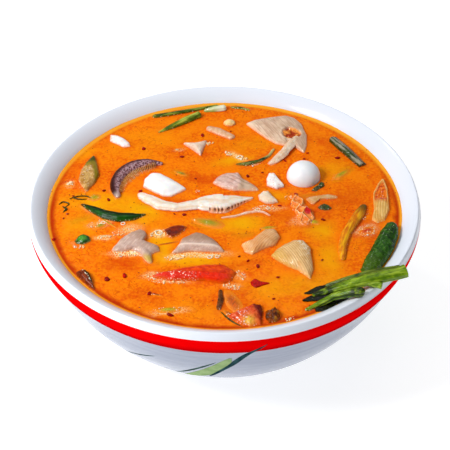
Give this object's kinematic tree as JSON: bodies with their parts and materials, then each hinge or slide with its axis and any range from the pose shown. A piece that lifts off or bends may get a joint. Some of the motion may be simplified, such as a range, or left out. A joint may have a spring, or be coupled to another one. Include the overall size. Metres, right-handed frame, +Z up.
{
  "type": "tom yum soup",
  "caption": "Round white bowl with a red band, full of orange hot and sour soup with mushrooms, onion, tomato and greens floating in it.",
  "frame": {"origin": "middle of the foot's underside, under the bowl's axis", "axes": "+Z up along the bowl's axis; -Y towards the eater, +X to the eater's right"},
  "size_m": [0.2344, 0.2344, 0.0978],
  "materials": {
    "melamine_white": "glossy white melamine with a red band and a green brush-stroke leaf print",
    "broth_orange": "opaque orange soup with an oily gloss",
    "green_dark": "wet dark green vegetable skin",
    "green_bright": "wet bright green stalk",
    "green_olive": "wet olive green stalk",
    "pale_green": "wet pale green cut stem",
    "aubergine_brown": "brown cooked flesh with a dark green skin",
    "mushroom_skin": "purple-brown mushroom skin with orange gills",
    "mushroom_cream": "cream oyster mushroom flesh",
    "mushroom_grey": "grey-white boiled mushroom",
    "cooked_white": "bright white cooked flesh",
    "chicken_grey_pink": "greyish-pink translucent meat",
    "boiled_onion": "translucent boiled onion with fine veins",
    "tomato_red": "soft red tomato flesh and skin",
    "stewed_brown": "dark brown stewed piece"
  },
  "bodies": {
    "root": {"bowl": "melamine_white", "broth": "broth_orange", "spring_onion_stem": "green_dark", "spring_onion_butt": "pale_green", "green_pod_back": "green_dark", "green_sliver_back": "green_dark", "green_bean_rod": "green_dark", "green_curl": "green_dark", "leek_wedge": "pale_green", "chilli_slice": "green_dark", "green_chip": "green_dark", "aubergine_slice": "aubergine_brown", "mushroom_crescent": "mushroom_skin", "oyster_cap": "mushroom_cream", "oyster_strand": "mushroom_cream", "mushroom_thread": "mushroom_cream", "mushroom_finger": "mushroom_grey", "mushroom_triangle": "mushroom_grey", "mushroom_left": "mushroom_grey", "mushroom_middle": "mushroom_grey", "onion_sliver": "cooked_white", "cuttlefish_piece": "cooked_white", "chicken_slice": "chicken_grey_pink", "cream_curl": "mushroom_cream", "fish_cake_chip": "cooked_white", "quail_egg": "cooked_white", "garlic_bit": "mushroom_cream", "onion_petal_left": "boiled_onion", "onion_petal_right": "boiled_onion", "onion_petal_pointed": "boiled_onion", "onion_strip": "boiled_onion", "tomato_wedge": "tomato_red", "tomato_skin": "tomato_red", "tomato_chunk_front": "tomato_red", "brown_strip_front": "stewed_brown", "brown_clump_front": "stewed_brown", "brown_piece": "stewed_brown", "lemongrass_stalk": "green_olive", "long_green_pod": "green_dark", "leaf_by_egg": "green_dark", "leaf_middle": "green_dark", "greens_stalk_main": "green_bright", "greens_stem_thin": "green_dark", "greens_stalk_lower": "green_bright", "greens_leaf_dark": "green_dark"}
  },
  "joints": []
}
